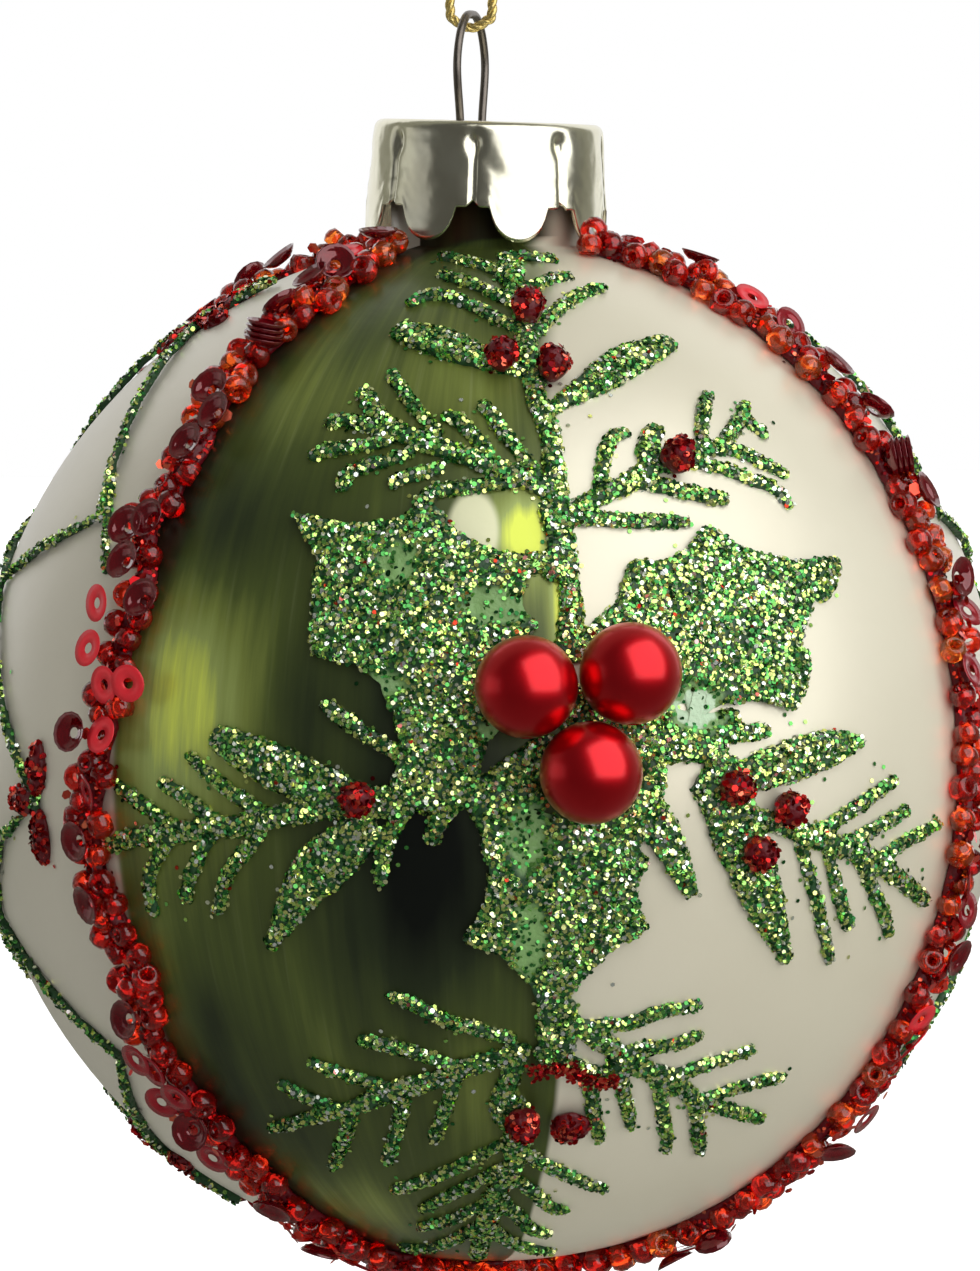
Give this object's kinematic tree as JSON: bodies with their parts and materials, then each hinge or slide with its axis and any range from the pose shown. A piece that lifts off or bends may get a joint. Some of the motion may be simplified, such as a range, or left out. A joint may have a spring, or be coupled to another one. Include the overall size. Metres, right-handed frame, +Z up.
{
  "type": "christmas bauble",
  "caption": "Hollow glass ball ornament with a scalloped crown cap, wire hanger and gold cord loop, decorated with red bead lines, pearls and raised glitter holly and fir.",
  "frame": {"origin": "the point the cord loop hangs from, at the underside of the cord's knot", "axes": "+Z up along the cord, the decorated front faces -Y, +X to the right of the front"},
  "size_m": [0.08, 0.0954, 0.1311],
  "materials": {
    "glass": "satin pearl paint over blown glass, opaque",
    "cap_metal": "bright pressed metal, champagne tint",
    "wire": "dark drawn spring wire",
    "gold_cord": "twisted metallic yarn",
    "red_beads": "silver-lined red glass beads and sequins in clear glue",
    "green_glitter": "green glitter in clear glue",
    "red_glitter": "red glitter in clear glue",
    "red_pearl": "pearlescent red coat"
  },
  "bodies": {
    "knot": {"cord_knot": "gold_cord"},
    "cord": {"hanging_cord": "gold_cord"},
    "hanger": {"hanger_wire": "wire", "crown_cap": "cap_metal"},
    "ball": {"glass_ball": "glass", "bead_cluster_bottom": "red_beads", "bead_line_front_left": "red_beads", "bead_line_front_right": "red_beads", "bead_line_back_right": "red_beads", "bead_line_back_left": "red_beads", "front_spray_top": "green_glitter", "front_holly_left": "green_glitter", "front_holly_right": "green_glitter", "front_holly_bottom": "green_glitter", "front_sprig_left": "green_glitter", "front_sprig_right": "green_glitter", "front_fir_upper_left": "green_glitter", "front_fir_upper_right": "green_glitter", "front_fir_bottom_left": "green_glitter", "front_fir_bottom_right": "green_glitter", "front_fir_bottom": "green_glitter", "back_spray_top": "green_glitter", "back_holly_left": "green_glitter", "back_holly_right": "green_glitter", "back_holly_bottom": "green_glitter", "back_sprig_left": "green_glitter", "back_sprig_right": "green_glitter", "back_fir_upper_left": "green_glitter", "back_fir_upper_right": "green_glitter", "back_fir_bottom_left": "green_glitter", "back_fir_bottom_right": "green_glitter", "back_fir_bottom": "green_glitter", "trellis_left": "green_glitter", "trellis_right": "green_glitter", "front_pearl_left": "red_pearl", "front_pearl_right": "red_pearl", "front_pearl_bottom": "red_pearl", "back_pearl_left": "red_pearl", "back_pearl_right": "red_pearl", "back_pearl_bottom": "red_pearl", "front_berry_top": "red_glitter", "front_berry_top_left": "red_glitter", "front_berry_top_right": "red_glitter", "front_berry_upper_right": "red_glitter", "front_berry_left": "red_glitter", "front_berry_right_inner": "red_glitter", "front_berry_right_outer": "red_glitter", "front_berry_right_lower": "red_glitter", "front_berry_bottom_left": "red_glitter", "front_berry_bottom_right": "red_glitter", "back_berry_top": "red_glitter", "back_berry_top_left": "red_glitter", "back_berry_top_right": "red_glitter", "back_berry_upper_right": "red_glitter", "back_berry_left": "red_glitter", "back_berry_right_inner": "red_glitter", "back_berry_right_outer": "red_glitter", "back_berry_right_lower": "red_glitter", "back_berry_bottom_left": "red_glitter", "back_berry_bottom_right": "red_glitter"}
  },
  "joints": [
    {"name": "bauble_spin", "type": "hinge", "parent": "knot", "child": "cord", "pos_m": [0, 0, 0], "axis": [0, 0, 1], "range_deg": [-180, 180]},
    {"name": "bauble_swing", "type": "hinge", "parent": "cord", "child": "hanger", "pos_m": [0, 0, -0.026], "axis": [0.9063, -0.4226, 0], "range_deg": [-75, 75]},
    {"name": "ball_pull", "type": "slide", "parent": "hanger", "child": "ball", "axis": [0, 0, -1], "range_m": [0, 0.03]}
  ]
}
